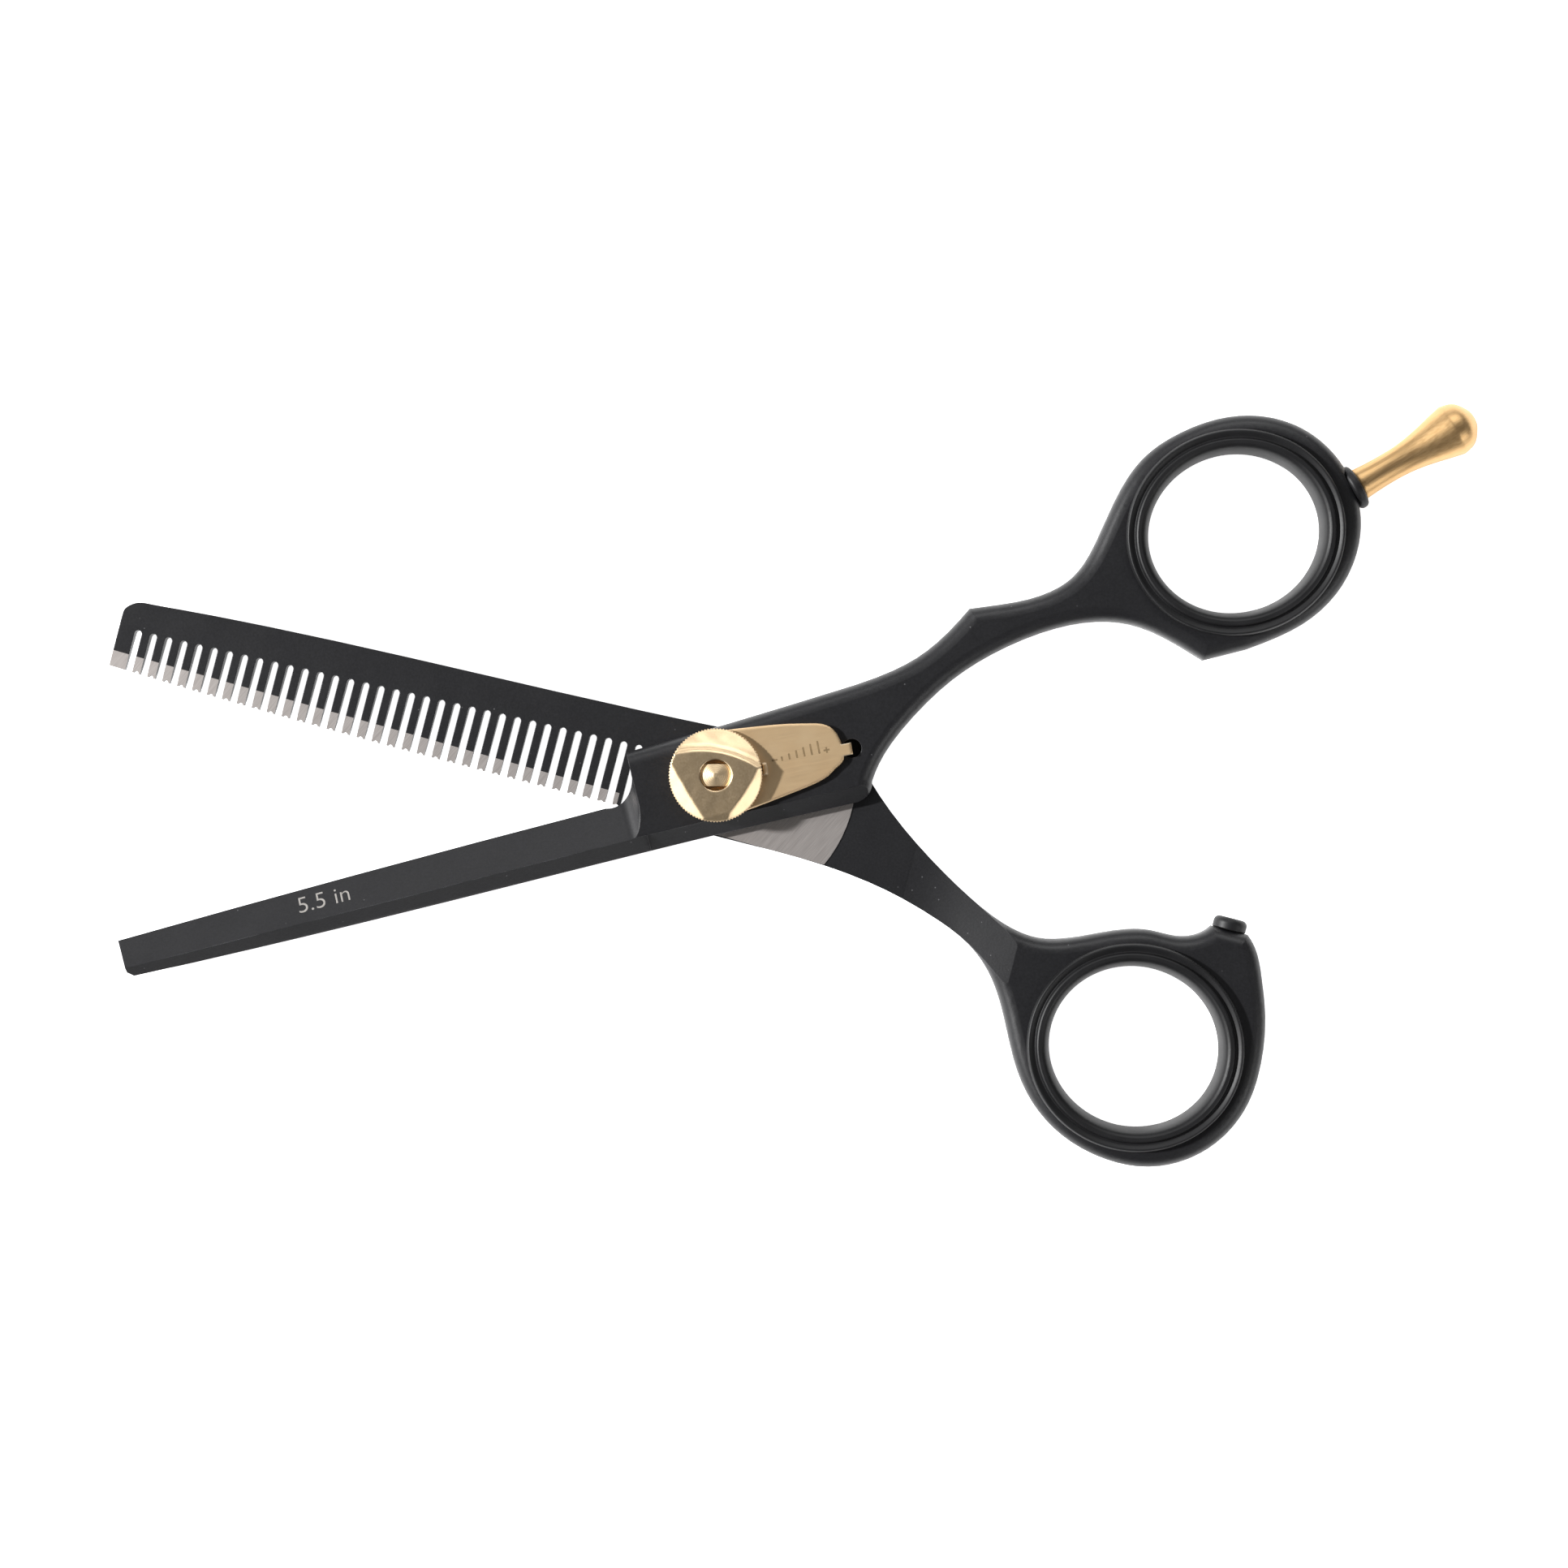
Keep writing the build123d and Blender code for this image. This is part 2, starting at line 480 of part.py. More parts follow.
def finger_rest_washer():
    ring = Cylinder(REST_WASHER_D / 2, REST_WASHER_THICKNESS, align=MIN_Z)
    ring = ring.fillet(0.46, ring.edges().filter_by(GeomType.CIRCLE))
    ring -= Cylinder(REST_STUD_D / 2, 9)
    return rest_place() * ring


def bumper():
    pad = Cylinder(BUMPER_D / 2, BUMPER_HEIGHT, align=MIN_Z)
    pad = pad.fillet(0.6, pad.edges().filter_by(GeomType.CIRCLE).sort_by(Axis.Z)[-1:])
    pad = pad.fillet(0.15, pad.edges().filter_by(GeomType.CIRCLE).sort_by(Axis.Z)[:1])
    stem = Cylinder(BUMPER_STEM_D / 2 - LINER_PLAY, BUMPER_STEM_LENGTH - 0.1,
                    align=MAX_Z)
    return bumper_place() * (pad + stem)


UPPER = Rot(0, 0, REST_OPENING / 2)
LOWER = Rot(0, 0, -REST_OPENING / 2)


def assembly():
    """Every piece about the pivot, with the halves turned apart to the rest opening."""
    finger_liner = Pos(*FINGER_HOLE) * liner(FINGER_HOLE_LENGTH, FINGER_HOLE_WIDTH)
    thumb_liner = Pos(*THUMB_RING) * liner(THUMB_HOLE_LENGTH, THUMB_HOLE_WIDTH)
    return {
        "comb_blade_half": LOWER * comb_blade_half(),
        "thumb_insert": LOWER * thumb_liner,
        "bumper": LOWER * bumper(),
        "pivot_bush": LOWER * pivot_bush(),
        "pivot_washer": LOWER * pivot_washer(),
        "plain_blade_half": UPPER * plain_blade_half(),
        "finger_insert": UPPER * finger_liner,
        "finger_rest": UPPER * finger_rest(),
        "finger_rest_washer": UPPER * finger_rest_washer(),
        "pivot_screw": UPPER * pivot_screw(),
        "tension_plate": UPPER * tension_plate(),
        "tension_dial": tension_dial(),
    }


os.makedirs("parts", exist_ok=True)
pieces = assembly()
box = Compound(list(pieces.values())).bounding_box()
to_origin = Pos(-box.center().X, -box.center().Y, -box.min.Z)
print("pivot at", to_origin.position, "size", box.size)
for name, piece in pieces.items():
    export_step(to_origin * piece, f"parts/{name}.step")
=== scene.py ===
import json
import math

import bpy
from mathutils import Matrix, Vector


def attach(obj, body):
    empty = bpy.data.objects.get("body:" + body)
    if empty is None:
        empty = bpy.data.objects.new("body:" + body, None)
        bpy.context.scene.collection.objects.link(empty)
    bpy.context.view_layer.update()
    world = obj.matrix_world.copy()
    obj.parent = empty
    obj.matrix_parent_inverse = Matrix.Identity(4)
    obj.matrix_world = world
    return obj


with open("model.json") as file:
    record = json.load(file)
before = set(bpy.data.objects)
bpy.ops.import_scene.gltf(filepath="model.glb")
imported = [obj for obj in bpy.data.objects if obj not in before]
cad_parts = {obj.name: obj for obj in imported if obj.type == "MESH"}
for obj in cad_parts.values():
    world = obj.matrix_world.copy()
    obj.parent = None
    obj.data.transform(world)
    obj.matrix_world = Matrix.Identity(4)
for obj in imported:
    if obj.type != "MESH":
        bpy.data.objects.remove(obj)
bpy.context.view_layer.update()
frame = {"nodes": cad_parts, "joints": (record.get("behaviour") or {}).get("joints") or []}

MM = 0.001

# ------------------------------------------------------------------ the two forged halves
# Each half, from blade to finger ring, is one forging of stainless steel, ground, bead
# blasted and then coated matt black. After coating, the comb half is ground bare again in
# two places: the half-moon ride face behind the pivot and a narrow band at the tooth tips.
pivot = Vector(next(j for j in frame["joints"] if j["name"] == "pivot")["pos_m"])
REST_TURN = math.radians(14.4)       # each half's turn from the closed line
RIDE_RADIUS = 14.9 * MM              # edge of the half-moon
RIDE_BACK = -1.0 * MM                # where the half-moon ends, on the blade's side
MATING_DROP = 0.02 * MM              # mating face below the pivot's mating plane
BLAST_GRAIN = 0.2 * MM               # blasting pits, drawn twice as coarse as they are, to show
EDGE_WEAR = 0.12 * MM                # how far from an edge the coat has thinned
RELIEF_END = 22.52 * MM              # where the relief round the half-moon runs out on the shank
RUN_OUT_HALF = 0.5 * MM              # half the width of the unworn band at that run-out
BORDER_LEVEL = -6.1 * MM             # coated border under the half-moon: its level at the pivot
BORDER_SLOPE = -0.0208
BAND_LEVEL = -4.64 * MM              # upper edge of the bare band at the tooth tips
BAND_SLOPE = -0.0243
TEETH_END = -9.5 * MM                # the tooth nearest the pivot
MATING_PLAY = 0.01 * MM              # how near the mating face a point counts as on it
GRIND_SPACING = 0.11 * MM            # distance between grinding lines
GRIND_TURN = math.radians(27.0)      # the grinding lines' slant to the half's own cross line


def linear(code):
    """An sRGB hex colour as linear RGBA."""
    channels = [int(code[i:i + 2], 16) / 255 for i in (1, 3, 5)]
    return [c / 12.92 if c <= 0.04045 else ((c + 0.055) / 1.055) ** 2.4 for c in channels] + [1.0]


def add(tree, kind, inputs=None, **settings):
    """Adds a node; inputs gives sockets a value or a link, settings gives the node's own."""
    node = tree.nodes.new(kind)
    for name, value in settings.items():
        setattr(node, name, value)
    for key, value in (inputs or {}).items():
        if isinstance(value, bpy.types.NodeSocket):
            tree.links.new(value, node.inputs[key])
        else:
            node.inputs[key].default_value = value
    return node


def new_material(name):
    """An empty node material, and its tree."""
    material = bpy.data.materials.new(name)
    material.use_nodes = True
    material.node_tree.nodes.clear()
    return material, material.node_tree


def coat(tree, place, wear_reach):
    """Matt black coating over blasted steel: near black with the blasting's fine pits, a soft
    unevenness in gloss, a few pale specks of dust, and edges where the coat has worn thin in
    places and shines grey. Gives colour, roughness and normal."""
    grain = add(tree, "ShaderNodeTexNoise", {"Vector": place, "Scale": 1 / BLAST_GRAIN, "Detail": 3.0})
    cloud = add(tree, "ShaderNodeTexNoise", {"Vector": place, "Scale": 1 / (4 * MM), "Detail": 5.0})
    speck = add(tree, "ShaderNodeTexVoronoi", {"Vector": place, "Scale": 1 / (1.2 * MM)})
    pale = add(tree, "ShaderNodeMapRange", {"Value": speck.outputs["Distance"], "From Min": 0.03,
                                            "From Max": 0.08, "To Min": 1.0, "To Max": 0.0})
    few = add(tree, "ShaderNodeMapRange", {"Value": speck.outputs["Color"], "From Min": 0.6,
                                           "From Max": 0.66})
    dust = add(tree, "ShaderNodeMath", {0: pale.outputs["Result"], 1: few.outputs["Result"]},
               operation="MULTIPLY")
    tone = add(tree, "ShaderNodeMix", {"Factor": grain.outputs["Fac"], 6: linear("#08080A"),
                                       7: linear("#222225")}, data_type="RGBA")
    dusty = add(tree, "ShaderNodeMix", {"Factor": dust.outputs[0], 6: tone.outputs[2],
                                        7: linear("#5C5C5E")}, data_type="RGBA")
    soft = add(tree, "ShaderNodeBevel", {"Radius": wear_reach}, samples=4)
    face = add(tree, "ShaderNodeNewGeometry")
    turn = add(tree, "ShaderNodeVectorMath", {0: soft.outputs["Normal"], 1: face.outputs["Normal"]},
               operation="DOT_PRODUCT")
    edge = add(tree, "ShaderNodeMapRange", {"Value": turn.outputs["Value"], "From Min": 0.96,
                                            "From Max": 0.8})
    patches = add(tree, "ShaderNodeMapRange", {"Value": cloud.outputs["Fac"], "From Min": 0.42,
                                               "From Max": 0.6, "To Min": 0.15, "To Max": 0.85})
    worn = add(tree, "ShaderNodeMath", {0: edge.outputs["Result"], 1: patches.outputs["Result"]},
               operation="MULTIPLY")
    colour = add(tree, "ShaderNodeMix", {"Factor": worn.outputs[0], 6: dusty.outputs[2],
                                         7: linear("#6E6E72")}, data_type="RGBA")
    gloss = add(tree, "ShaderNodeMapRange", {"Value": cloud.outputs["Fac"], "To Min": 0.38,
                                             "To Max": 0.48})
    bump = add(tree, "ShaderNodeBump", {"Height": grain.outputs["Fac"], "Strength": 0.35,
                                        "Distance": 0.02 * MM, "Normal": soft.outputs["Normal"]})
    return colour.outputs[2], gloss.outputs["Result"], bump.outputs["Normal"]


def coated_steel():
    """The plain half: coating all over."""
    material, tree = new_material("matt_black_coated_stainless_steel")
    place = add(tree, "ShaderNodeTexCoord").outputs["Object"]
    colour, gloss, normal = coat(tree, place, EDGE_WEAR)
    skin = add(tree, "ShaderNodeBsdfPrincipled", {"Base Color": colour, "Roughness": gloss,
                                                  "Normal": normal, "IOR": 1.5})
    add(tree, "ShaderNodeOutputMaterial", {"Surface": skin.outputs[0]})
    return material


def coated_and_ground_steel():
    """The comb half: coating, with bare ground steel on the half-moon and the tooth tips."""
    material, tree = new_material("matt_black_coating_ground_bare")
    place = add(tree, "ShaderNodeTexCoord").outputs["Object"]
    own = add(tree, "ShaderNodeMapping", {"Vector": place, "Location": pivot,
                                          "Rotation": (0, 0, -REST_TURN)}, vector_type="TEXTURE")
    split = add(tree, "ShaderNodeSeparateXYZ", {"Vector": own.outputs[0]})
    # the relief's shallow run-out is no edge that a hand or a case would wear
    run_out = add(tree, "ShaderNodeMath", {0: split.outputs["X"], 1: RELIEF_END, 2: RUN_OUT_HALF},
                  operation="COMPARE")
    wear_reach = add(tree, "ShaderNodeMapRange", {"Value": run_out.outputs[0], "To Min": EDGE_WEAR,
                                                  "To Max": 0.0})
    colour, gloss, normal = coat(tree, place, wear_reach.outputs["Result"])
    flat_place = add(tree, "ShaderNodeCombineXYZ", {"X": split.outputs["X"], "Y": split.outputs["Y"]})
    reach = add(tree, "ShaderNodeVectorMath", {0: flat_place.outputs[0]}, operation="LENGTH")
    inside = add(tree, "ShaderNodeMath", {0: reach.outputs["Value"], 1: RIDE_RADIUS},
                 operation="LESS_THAN")
    behind = add(tree, "ShaderNodeMath", {0: split.outputs["X"], 1: RIDE_BACK},
                 operation="GREATER_THAN")
    sector = add(tree, "ShaderNodeMath", {0: inside.outputs[0], 1: behind.outputs[0]},
                 operation="MULTIPLY")
    # a hair of coated edge is left along the shank's lower side
    border = add(tree, "ShaderNodeMath", {0: split.outputs["X"], 1: BORDER_SLOPE, 2: BORDER_LEVEL},
                 operation="MULTIPLY_ADD")
    within = add(tree, "ShaderNodeMath", {0: split.outputs["Y"], 1: border.outputs[0]},
                 operation="GREATER_THAN")
    moon = add(tree, "ShaderNodeMath", {0: sector.outputs[0], 1: within.outputs[0]},
               operation="MULTIPLY")
    # the honed band follows the tips: 1.6 mm wide at the blade's end, 1.2 mm at the pivot
    band_edge = add(tree, "ShaderNodeMath", {0: split.outputs["X"], 1: BAND_SLOPE, 2: BAND_LEVEL},
                    operation="MULTIPLY_ADD")
    below_edge = add(tree, "ShaderNodeMath", {0: split.outputs["Y"], 1: band_edge.outputs[0]},
                     operation="LESS_THAN")
    on_teeth = add(tree, "ShaderNodeMath", {0: split.outputs["X"], 1: TEETH_END},
                   operation="LESS_THAN")
    band = add(tree, "ShaderNodeMath", {0: below_edge.outputs[0], 1: on_teeth.outputs[0]},
               operation="MULTIPLY")
    ground = add(tree, "ShaderNodeMath", {0: moon.outputs[0], 1: band.outputs[0]}, operation="MAXIMUM")
    height = add(tree, "ShaderNodeMath", {0: split.outputs["Z"], 1: -MATING_DROP, 2: MATING_PLAY},
                 operation="COMPARE")
    bare = add(tree, "ShaderNodeMath", {0: ground.outputs[0], 1: height.outputs[0]},
               operation="MULTIPLY")
    turned = add(tree, "ShaderNodeMapping", {"Vector": own.outputs[0],
                                             "Rotation": (0, 0, GRIND_TURN)})
    drawn = add(tree, "ShaderNodeMapping", {"Vector": turned.outputs[0], "Scale": (1, 0.04, 1)})
    lines = add(tree, "ShaderNodeTexNoise", {"Vector": drawn.outputs[0], "Scale": 1 / GRIND_SPACING,
                                             "Detail": 3.0})
    steel_tone = add(tree, "ShaderNodeMix", {"Factor": lines.outputs["Fac"], 6: linear("#A59E9B"),
                                             7: linear("#D6D0CC")}, data_type="RGBA")
    steel_bump = add(tree, "ShaderNodeBump", {"Height": lines.outputs["Fac"], "Strength": 0.25,
                                              "Distance": 0.01 * MM})
    skin = add(tree, "ShaderNodeBsdfPrincipled", {"Base Color": colour, "Roughness": gloss,
                                                  "Normal": normal, "IOR": 1.5})
    steel = add(tree, "ShaderNodeBsdfPrincipled", {"Base Color": steel_tone.outputs[2], "Metallic": 1.0,
                                                   "Roughness": 0.52, "Normal": steel_bump.outputs[0]})
    both = add(tree, "ShaderNodeMixShader", {0: bare.outputs[0], 1: skin.outputs[0], 2: steel.outputs[0]})
    add(tree, "ShaderNodeOutputMaterial", {"Surface": both.outputs[0]})
    return material


def dress(node, material):
    """Gives a carried-over CAD node its finish."""
    for slot in frame["nodes"][node].material_slots:
        slot.material = material


dress("plain_blade_half", coated_steel())
dress("comb_blade_half", coated_and_ground_steel())

# ------------------------------------------------------------------ the mark on the plain blade
# The length in inches, etched through the coating by laser on the flat facet of the plain
# blade. It shows as light grey, a little rough, and has no height that a finger would feel.
MARK_HEIGHT = 1.92 * MM
MARK_PLACE = (-37.95 * MM, -2.62 * MM)               # on the facet, from its end at the block
MARK_SKIN = 0.006 * MM
CAPITAL_SHARE = 0.72                                 # a capital's height as a share of the size
STROKE_THINNING = -0.014                             # of the letters' height, for a lighter face
LASER_PITS = 0.12 * MM
FACET_END = Vector((-8.65, -0.45, 0.35)) * MM        # the facet's end at the block, from the pivot
FACET_SLOPE = math.atan(0.5)
FACET_LEAN = math.atan2(0.75, 66.0)


def words(name, letters, height, frame_of_face):
    """Letters as a thin mesh that lies in a face's XY plane, left edge at the face's origin."""
    bpy.ops.object.select_all(action="DESELECT")
    bpy.ops.object.text_add(location=(0, 0, 0))
    text = bpy.context.object
    text.name = name
    text.data.body = letters
    text.data.size = height / CAPITAL_SHARE
    text.data.resolution_u = 6
    text.data.offset = STROKE_THINNING * height
    text.data.extrude = MARK_SKIN / 2
    bpy.ops.object.convert(target="MESH")
    piece = bpy.context.object
    piece.matrix_world = frame_of_face
    bpy.ops.object.transform_apply(location=True, rotation=True, scale=True)
    return piece


facet = (Matrix.Translation(pivot) @ Matrix.Rotation(REST_TURN, 4, "Z")
         @ Matrix.Translation(FACET_END) @ Matrix.Rotation(FACET_LEAN, 4, "Z")
         @ Matrix.Rotation(-FACET_SLOPE, 4, "X")
         @ Matrix.Translation((*MARK_PLACE, MARK_SKIN / 2)))
mark = words("blade_size_mark", "5.5 in", MARK_HEIGHT, facet)


def etched_steel():
    """Steel roughened by the laser: dull light grey with fine pits, against the black coat."""
    material, tree = new_material("laser_etched_steel")
    place = add(tree, "ShaderNodeTexCoord").outputs["Object"]
    pits = add(tree, "ShaderNodeTexNoise", {"Vector": place, "Scale": 1 / LASER_PITS, "Detail": 2.0})
    tone = add(tree, "ShaderNodeMix", {"Factor": pits.outputs["Fac"], 6: linear("#7E7B78"),
                                       7: linear("#B4B0AB")}, data_type="RGBA")
    skin = add(tree, "ShaderNodeBsdfPrincipled", {"Base Color": tone.outputs[2], "Roughness": 0.6,
                                                  "Metallic": 0.3})
    add(tree, "ShaderNodeOutputMaterial", {"Surface": skin.outputs[0]})
    return material


mark.data.materials.append(etched_steel())
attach(mark, "plain_half")

# ------------------------------------------------------------------ the pivot screw, bush and washer
# A slotted brass screw, turned and gold plated, comes up through a nylon bush and washer in
# the comb half. Its end has two flats and shows the lathe's rings round a centre point.
RING_PITCH = 0.2 * MM                # turning rings, drawn twice as coarse as they are
WAVE_PITCH = math.pi / 10            # distance between a wave pattern's rings at scale 1


def turned_gold():
    """Gold plate over turned brass, with the lathe's rings about the screw's own axis."""
    material, tree = new_material("gold_plated_turned_brass")
    place = add(tree, "ShaderNodeTexCoord").outputs["Object"]
    own = add(tree, "ShaderNodeMapping", {"Vector": place, "Location": pivot}, vector_type="TEXTURE")
    rings = add(tree, "ShaderNodeTexWave", {"Vector": own.outputs[0], "Scale": WAVE_PITCH / RING_PITCH,
                                            "Distortion": 1.2, "Detail": 2.0, "Detail Scale": 2.0},
                wave_type="RINGS", rings_direction="Z")
    fine = add(tree, "ShaderNodeTexNoise", {"Vector": own.outputs[0], "Scale": 1 / (0.1 * MM)})
    tone = add(tree, "ShaderNodeMix", {"Factor": fine.outputs["Fac"], 6: linear("#EDCB9A"),
                                       7: linear("#FAE6C4")}, data_type="RGBA")
    bump = add(tree, "ShaderNodeBump", {"Height": rings.outputs["Fac"], "Strength": 0.3,
                                        "Distance": 0.02 * MM})
    skin = add(tree, "ShaderNodeBsdfPrincipled", {"Base Color": tone.outputs[2], "Metallic": 1.0,
                                                  "Roughness": 0.44, "Normal": bump.outputs[0]})
    add(tree, "ShaderNodeOutputMaterial", {"Surface": skin.outputs[0]})
    return material


def nylon():
    """Natural nylon, turned from rod: milky, slightly uneven, half matt."""
    material, tree = new_material("natural_nylon")
    place = add(tree, "ShaderNodeTexCoord").outputs["Object"]
    cloud = add(tree, "ShaderNodeTexNoise", {"Vector": place, "Scale": 1 / (0.7 * MM)})
    tone = add(tree, "ShaderNodeMix", {"Factor": cloud.outputs["Fac"], 6: linear("#D6D2C4"),
                                       7: linear("#EAE7DC")}, data_type="RGBA")
    skin = add(tree, "ShaderNodeBsdfPrincipled", {"Base Color": tone.outputs[2], "Roughness": 0.45})
    add(tree, "ShaderNodeOutputMaterial", {"Surface": skin.outputs[0]})
    return material


dress("pivot_screw", turned_gold())
milky = nylon()
dress("pivot_bush", milky)
dress("pivot_washer", milky)

# ------------------------------------------------------------------ the tension plate
# A leaf of spring brass, punched, gold plated and brushed lengthwise, with a rolled rim on
# which a highlight is painted. Its tail is bent down into a hole in the block.
PLATE_TURN = REST_TURN + math.radians(-3.25)     # the plate's own slant on the block
RIM_ROUND = 0.22 * MM                    # radius of the rolled rim


def brushed_gold():
    """Gold plate over lengthwise brushing: satin with fine lines, and a painted highlight, near white, on
    its rolled edge.
    """
    material, tree = new_material("brushed_gold_plated_brass")
    place = add(tree, "ShaderNodeTexCoord").outputs["Object"]
    own = add(tree, "ShaderNodeMapping", {"Vector": place, "Location": pivot,
                                          "Rotation": (0, 0, PLATE_TURN)}, vector_type="TEXTURE")
    long = add(tree, "ShaderNodeMapping", {"Vector": own.outputs[0], "Scale": (0.03, 1, 1)})
    lines = add(tree, "ShaderNodeTexNoise", {"Vector": long.outputs[0], "Scale": 1 / (0.1 * MM),
                                             "Detail": 4.0})
    cloud = add(tree, "ShaderNodeTexNoise", {"Vector": own.outputs[0], "Scale": 1 / (3 * MM),
                                             "Detail": 3.0})
    tone = add(tree, "ShaderNodeMix", {"Factor": cloud.outputs["Fac"], 6: linear("#D6B68C"),
                                       7: linear("#E6CDA6")}, data_type="RGBA")
    soft = add(tree, "ShaderNodeBevel", {"Radius": RIM_ROUND}, samples=6)
    face = add(tree, "ShaderNodeNewGeometry")
    turn = add(tree, "ShaderNodeVectorMath", {0: soft.outputs["Normal"], 1: face.outputs["Normal"]},
               operation="DOT_PRODUCT")
    # painted highlight: the colour is lifted to near white wherever the softened normal turns away from
    # the face, along every edge
    rim_highlight_mask = add(tree, "ShaderNodeMapRange", {"Value": turn.outputs["Value"], "From Min": 0.99,
                                           "From Max": 0.85})
    bright = add(tree, "ShaderNodeMix", {"Factor": rim_highlight_mask.outputs["Result"], 6: tone.outputs[2],
                                         7: linear("#FFF3DC")}, data_type="RGBA")
    gloss = add(tree, "ShaderNodeMapRange", {"Value": lines.outputs["Fac"], "To Min": 0.48,
                                             "To Max": 0.62})
    bump = add(tree, "ShaderNodeBump", {"Height": lines.outputs["Fac"], "Strength": 0.2,
                                        "Distance": 0.01 * MM, "Normal": soft.outputs["Normal"]})
    skin = add(tree, "ShaderNodeBsdfPrincipled", {"Base Color": bright.outputs[2], "Metallic": 1.0,
                                                  "Roughness": gloss.outputs[0],
                                                  "Normal": bump.outputs[0]})
    add(tree, "ShaderNodeOutputMaterial", {"Surface": skin.outputs[0]})
    return material


dress("tension_plate", brushed_gold())

# ------------------------------------------------------------------ the scale on the plate
# A plain scale for the dial, engraved along the plate: strokes that grow from a minus to a
# plus. The cut lines are dull and brown against the bright plate.
STROKE_WIDTH = 0.2 * MM
STROKE_PITCH = 0.8 * MM
STROKES = 6
SHORTEST_STROKE = 0.5 * MM
STROKE_GROWTH = 0.18 * MM                # how much longer each stroke is than the last
SIGN_ARM = 0.32 * MM                     # half the length of the minus, and of the plus
SCALE_START = (7.2 * MM, 0.1 * MM)       # foot of the first stroke, from the pivot
PLATE_TOP = 3.1 * MM                     # above the pivot's mating plane


def stroke(place, width, length):
    """One thin engraved stroke with rounded corners, about its own middle."""
    bpy.ops.object.select_all(action="DESELECT")
    bpy.ops.mesh.primitive_cube_add(size=1.0, location=place, scale=(width, length, MARK_SKIN))
    bar = bpy.context.object
    bpy.ops.object.transform_apply(location=True, rotation=True, scale=True)
    bpy.context.tool_settings.mesh_select_mode = (False, True, False)
    bpy.ops.object.mode_set(mode="EDIT")
    bpy.ops.mesh.select_all(action="DESELECT")
    bpy.ops.object.mode_set(mode="OBJECT")
    for edge in bar.data.edges:
        low, high = (bar.data.vertices[index].co for index in edge.vertices)
        edge.select = abs(high.z - low.z) > MARK_SKIN / 2
    bpy.ops.object.mode_set(mode="EDIT")
    bpy.ops.mesh.bevel(offset=0.45 * min(width, length), segments=3, affect="EDGES")
    bpy.ops.object.mode_set(mode="OBJECT")
    return bar


def plus_sign(place):
    """A square whose four sides are drawn out into arms."""
    bpy.ops.object.select_all(action="DESELECT")
    bpy.ops.mesh.primitive_cube_add(size=1.0, location=place,
                                    scale=(STROKE_WIDTH, STROKE_WIDTH, MARK_SKIN))
    plus = bpy.context.object
    bpy.ops.object.transform_apply(location=True, rotation=True, scale=True)
    bpy.context.tool_settings.mesh_select_mode = (False, False, True)
    bpy.ops.object.mode_set(mode="EDIT")
    bpy.ops.mesh.select_all(action="DESELECT")
    bpy.ops.object.mode_set(mode="OBJECT")
    for face in plus.data.polygons:
        face.select = abs(face.normal.z) < 0.5
    bpy.ops.object.mode_set(mode="EDIT")
    bpy.ops.mesh.extrude_faces_move(TRANSFORM_OT_shrink_fatten={"value": SIGN_ARM - STROKE_WIDTH / 2})
    bpy.ops.object.mode_set(mode="OBJECT")
    return plus


marks = []
for count in range(STROKES):
    stroke_length = SHORTEST_STROKE + count * STROKE_GROWTH
    marks.append(stroke((count * STROKE_PITCH, stroke_length / 2, 0), STROKE_WIDTH, stroke_length))
sign_height = SHORTEST_STROKE / 2
marks.append(stroke((-STROKE_PITCH, sign_height, 0), 2 * SIGN_ARM, STROKE_WIDTH))
marks.append(plus_sign((STROKES * STROKE_PITCH, sign_height, 0)))
bpy.ops.object.select_all(action="DESELECT")
for bar in marks:
    bar.select_set(True)
bpy.context.view_layer.objects.active = marks[0]
bpy.ops.object.join()
scale_marks = bpy.context.object
scale_marks.name = "plate_scale"
scale_marks.matrix_world = (Matrix.Translation(pivot) @ Matrix.Rotation(PLATE_TURN, 4, "Z")
                            @ Matrix.Translation((*SCALE_START, PLATE_TOP + MARK_SKIN / 2)))
bpy.ops.object.transform_apply(location=True, rotation=True, scale=True)


def engraved_gold():
    """Engraved lines through the plating: dark brown, darker than the plate, uneven, with no shine."""
    material, tree = new_material("engraved_brass_lines")
    place = add(tree, "ShaderNodeTexCoord").outputs["Object"]
    blotches = add(tree, "ShaderNodeTexNoise", {"Vector": place, "Scale": 1 / (0.4 * MM), "Detail": 3.0})
    tone = add(tree, "ShaderNodeMix", {"Factor": blotches.outputs["Fac"], 6: linear("#6B5A45"),
                                       7: linear("#B0966F")}, data_type="RGBA")
    skin = add(tree, "ShaderNodeBsdfPrincipled", {"Base Color": tone.outputs[2], "Metallic": 0.6,
                                                  "Roughness": 0.6})
    add(tree, "ShaderNodeOutputMaterial", {"Surface": skin.outputs[0]})
    return material


scale_marks.data.materials.append(engraved_gold())
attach(scale_marks, "plain_half")

# ------------------------------------------------------------------ the tension dial
# A brass thumb nut with folded flaps and a finely serrated rim, barrel polished and gold
# plated. The tumbling leaves its creases soft and its faces a little wavy.
CREASE_ROUND = 0.3 * MM


